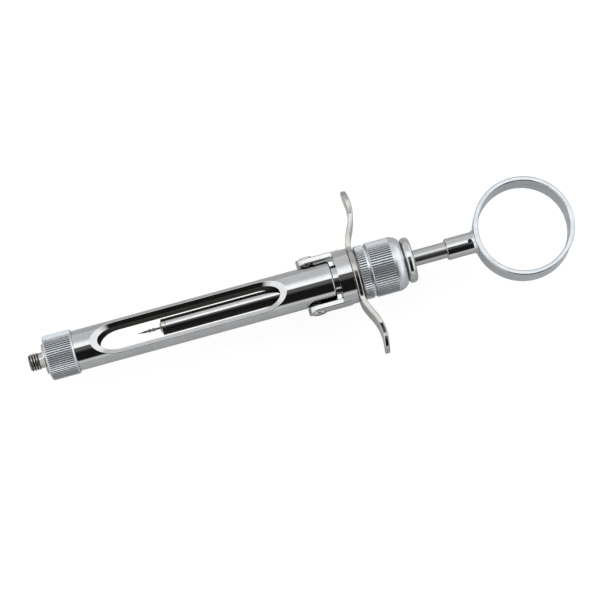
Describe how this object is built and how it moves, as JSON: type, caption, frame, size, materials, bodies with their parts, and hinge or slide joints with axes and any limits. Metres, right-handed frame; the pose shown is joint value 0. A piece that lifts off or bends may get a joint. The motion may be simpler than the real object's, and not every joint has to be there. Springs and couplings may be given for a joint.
{
  "type": "aspirating dental syringe",
  "caption": "Breech-loading aspirating dental cartridge syringe: windowed barrel on a forked collar, winged finger grip, sprung sleeve, plunger with harpoon, thumb ring.",
  "frame": {"origin": "centre of the needle adaptor's front face, on the instrument's axis", "axes": "+X along the instrument from the needle end to the thumb ring, +Y along one wing of the finger grip, +Z along the thumb ring's axis"},
  "size_m": [0.1717, 0.0524, 0.0178],
  "materials": {
    "mirror_chrome": "mirror polished chrome plate",
    "polished_steel": "polished stainless steel",
    "satin_nickel": "satin nickel plate over knurled brass",
    "satin_chrome": "satin chrome plate",
    "dark_steel": "darkened steel",
    "spring_steel": "drawn spring wire",
    "seal_rubber": "silicone rubber, smooth"
  },
  "bodies": {
    "handle": {"fork_collar": "mirror_chrome", "finger_grip": "polished_steel", "lock_washer": "dark_steel", "lock_ring": "satin_nickel", "spring_housing": "satin_nickel", "spring_seat": "spring_steel", "latch_spring": "spring_steel", "pivot_washers": "dark_steel"},
    "barrel_group": {"barrel": "mirror_chrome", "pivot_screws": "polished_steel", "front_cap": "satin_nickel", "cartridge_seal": "seal_rubber", "needle_adaptor": "polished_steel"},
    "latch_sleeve": {"guide_sleeve": "mirror_chrome", "pull_collar": "mirror_chrome", "rod_o_ring": "seal_rubber"},
    "plunger": {"plunger_rod": "mirror_chrome", "piston_tip": "polished_steel", "harpoon": "polished_steel"},
    "ring_group": {"ring_stem": "mirror_chrome", "stem_grub_screw": "dark_steel", "thumb_ring": "satin_chrome"}
  },
  "joints": [
    {"name": "barrel_fold", "type": "hinge", "parent": "handle", "child": "barrel_group", "pos_m": [0.0893, 0, 0], "axis": [0, 1, 0], "range_deg": [0, 11]},
    {"name": "sleeve_slide", "type": "slide", "parent": "handle", "child": "latch_sleeve", "axis": [1, 0, 0], "range_m": [0, 0.0025], "stiffness_N_per_m": 300, "springref_m": -0.01, "deforming": ["latch_spring"]},
    {"name": "plunger_slide", "type": "slide", "parent": "handle", "child": "plunger", "axis": [1, 0, 0], "range_m": [-0.01, 0.061]},
    {"name": "ring_spin", "type": "hinge", "parent": "plunger", "child": "ring_group", "pos_m": [0.1355, 0, 0], "axis": [1, 0, 0], "continuous": true}
  ],
  "couplings": [
    {"joint": "sleeve_slide", "follows": "barrel_fold", "m_per_rad": 0.012605}
  ]
}
